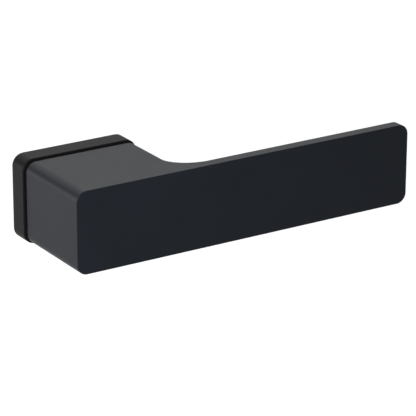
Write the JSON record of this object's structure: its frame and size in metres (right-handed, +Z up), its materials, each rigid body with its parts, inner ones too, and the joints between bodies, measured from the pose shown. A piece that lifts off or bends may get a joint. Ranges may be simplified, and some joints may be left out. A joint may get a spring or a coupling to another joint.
{
  "type": "door lever handle",
  "caption": "Black lever handle with a square-edged neck and flat grip, turning against a return spring in a rectangular rose.",
  "frame": {"origin": "on the spindle's axis, at the door's face that the rose lies on", "axes": "+X along the lever to its tip, +Y into the door along the spindle, +Z up"},
  "size_m": [0.1557, 0.08, 0.0354],
  "materials": {
    "black_coat": "matt black powder coat",
    "black_plastic": "moulded, matt",
    "pale_plastic": "moulded, natural",
    "cast_zinc": "die-cast, uncoated",
    "zinc_plated_steel": "zinc plated",
    "dark_steel": "blackened",
    "spring_steel": "drawn wire and strip"
  },
  "bodies": {
    "rose": {"mounting_base": "cast_zinc", "rose_cover": "black_coat", "cassette_plate": "zinc_plated_steel", "cassette_screw_1": "zinc_plated_steel", "cassette_screw_2": "zinc_plated_steel", "cassette_screw_3": "zinc_plated_steel", "cassette_screw_4": "zinc_plated_steel", "bearing_bush": "pale_plastic", "fixing_screw_left": "zinc_plated_steel", "fixing_screw_right": "zinc_plated_steel", "cover_clip_top": "spring_steel", "cover_clip_bottom": "spring_steel", "return_spring": "spring_steel"},
    "lever": {"lever_body": "black_coat", "lever_collar": "zinc_plated_steel", "neck_back_plate": "black_plastic", "back_plate_screw_left": "dark_steel", "back_plate_screw_right": "dark_steel", "set_screw": "dark_steel", "wave_washer": "spring_steel", "spindle": "zinc_plated_steel", "spring_rotor": "zinc_plated_steel"}
  },
  "joints": [
    {"name": "lever_turn", "type": "hinge", "parent": "rose", "child": "lever", "pos_m": [0, 0, 0], "axis": [0, 1, 0], "range_deg": [0, 45], "stiffness_Nm_per_rad": 0.6, "springref_deg": -45.84, "deforming": ["return_spring"]}
  ]
}
